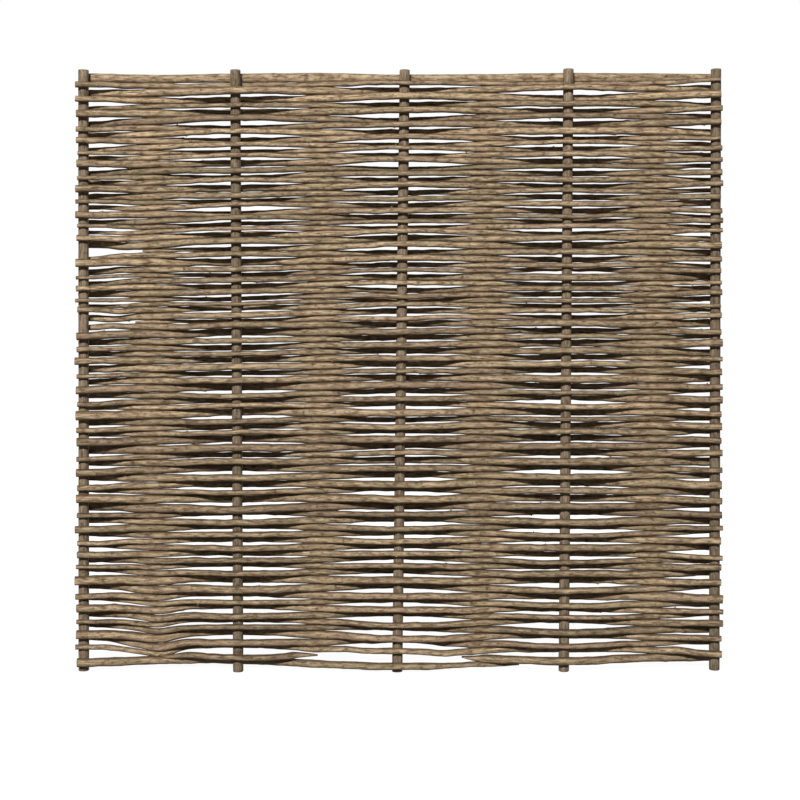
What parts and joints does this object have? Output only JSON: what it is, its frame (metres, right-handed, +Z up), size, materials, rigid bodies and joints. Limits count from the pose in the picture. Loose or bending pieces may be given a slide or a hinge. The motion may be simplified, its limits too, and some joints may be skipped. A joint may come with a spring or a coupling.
{
  "type": "woven hazel fence panel",
  "caption": "Upright woven fence panel: level hazel rods woven in front of and behind round stakes, with a thicker rail nailed across the top.",
  "frame": {"origin": "centre of the middle stake's foot, on the level that the lowest feet stand on", "axes": "+X along the rods to the right as seen from the front, +Y through the panel from front to back, +Z up along the stakes"},
  "size_m": [1.807, 0.0859, 1.6887],
  "materials": {
    "hazel_rod": "matte",
    "hazel_stake": "matte",
    "hazel_rail": "matte",
    "nail_steel": "satin"
  },
  "bodies": {
    "root": {"bottom_rod": "hazel_rod", "rail_nails": "nail_steel", "rod_pair_01": "hazel_rod", "rod_pair_02": "hazel_rod", "rod_pair_03": "hazel_rod", "rod_pair_04": "hazel_rod", "rod_pair_05": "hazel_rod", "rod_pair_06": "hazel_rod", "rod_pair_07": "hazel_rod", "rod_pair_08": "hazel_rod", "rod_pair_09": "hazel_rod", "rod_pair_10": "hazel_rod", "rod_pair_11": "hazel_rod", "rod_pair_12": "hazel_rod", "rod_pair_13": "hazel_rod", "rod_pair_14": "hazel_rod", "rod_pair_15": "hazel_rod", "rod_pair_16": "hazel_rod", "rod_pair_17": "hazel_rod", "rod_pair_18": "hazel_rod", "rod_pair_19": "hazel_rod", "rod_pair_20": "hazel_rod", "rod_pair_21": "hazel_rod", "rod_pair_22": "hazel_rod", "rod_pair_23": "hazel_rod", "rod_pair_24": "hazel_rod", "rod_pair_25": "hazel_rod", "rod_pair_26": "hazel_rod", "rod_pair_27": "hazel_rod", "rod_pair_28": "hazel_rod", "rod_pair_29": "hazel_rod", "rod_pair_30": "hazel_rod", "rod_pair_31": "hazel_rod", "rod_pair_32": "hazel_rod", "rod_pair_33": "hazel_rod", "rod_pair_34": "hazel_rod", "rod_pair_35": "hazel_rod", "rod_pair_36": "hazel_rod", "rod_pair_37": "hazel_rod", "rod_pair_38": "hazel_rod", "rod_pair_39": "hazel_rod", "rod_pair_40": "hazel_rod", "rod_pair_41": "hazel_rod", "rod_pair_42": "hazel_rod", "rod_pair_43": "hazel_rod", "rod_pair_44": "hazel_rod", "stake_1": "hazel_stake", "stake_2": "hazel_stake", "stake_3": "hazel_stake", "stake_4": "hazel_stake", "stake_5": "hazel_stake", "top_rail": "hazel_rail"}
  },
  "joints": []
}
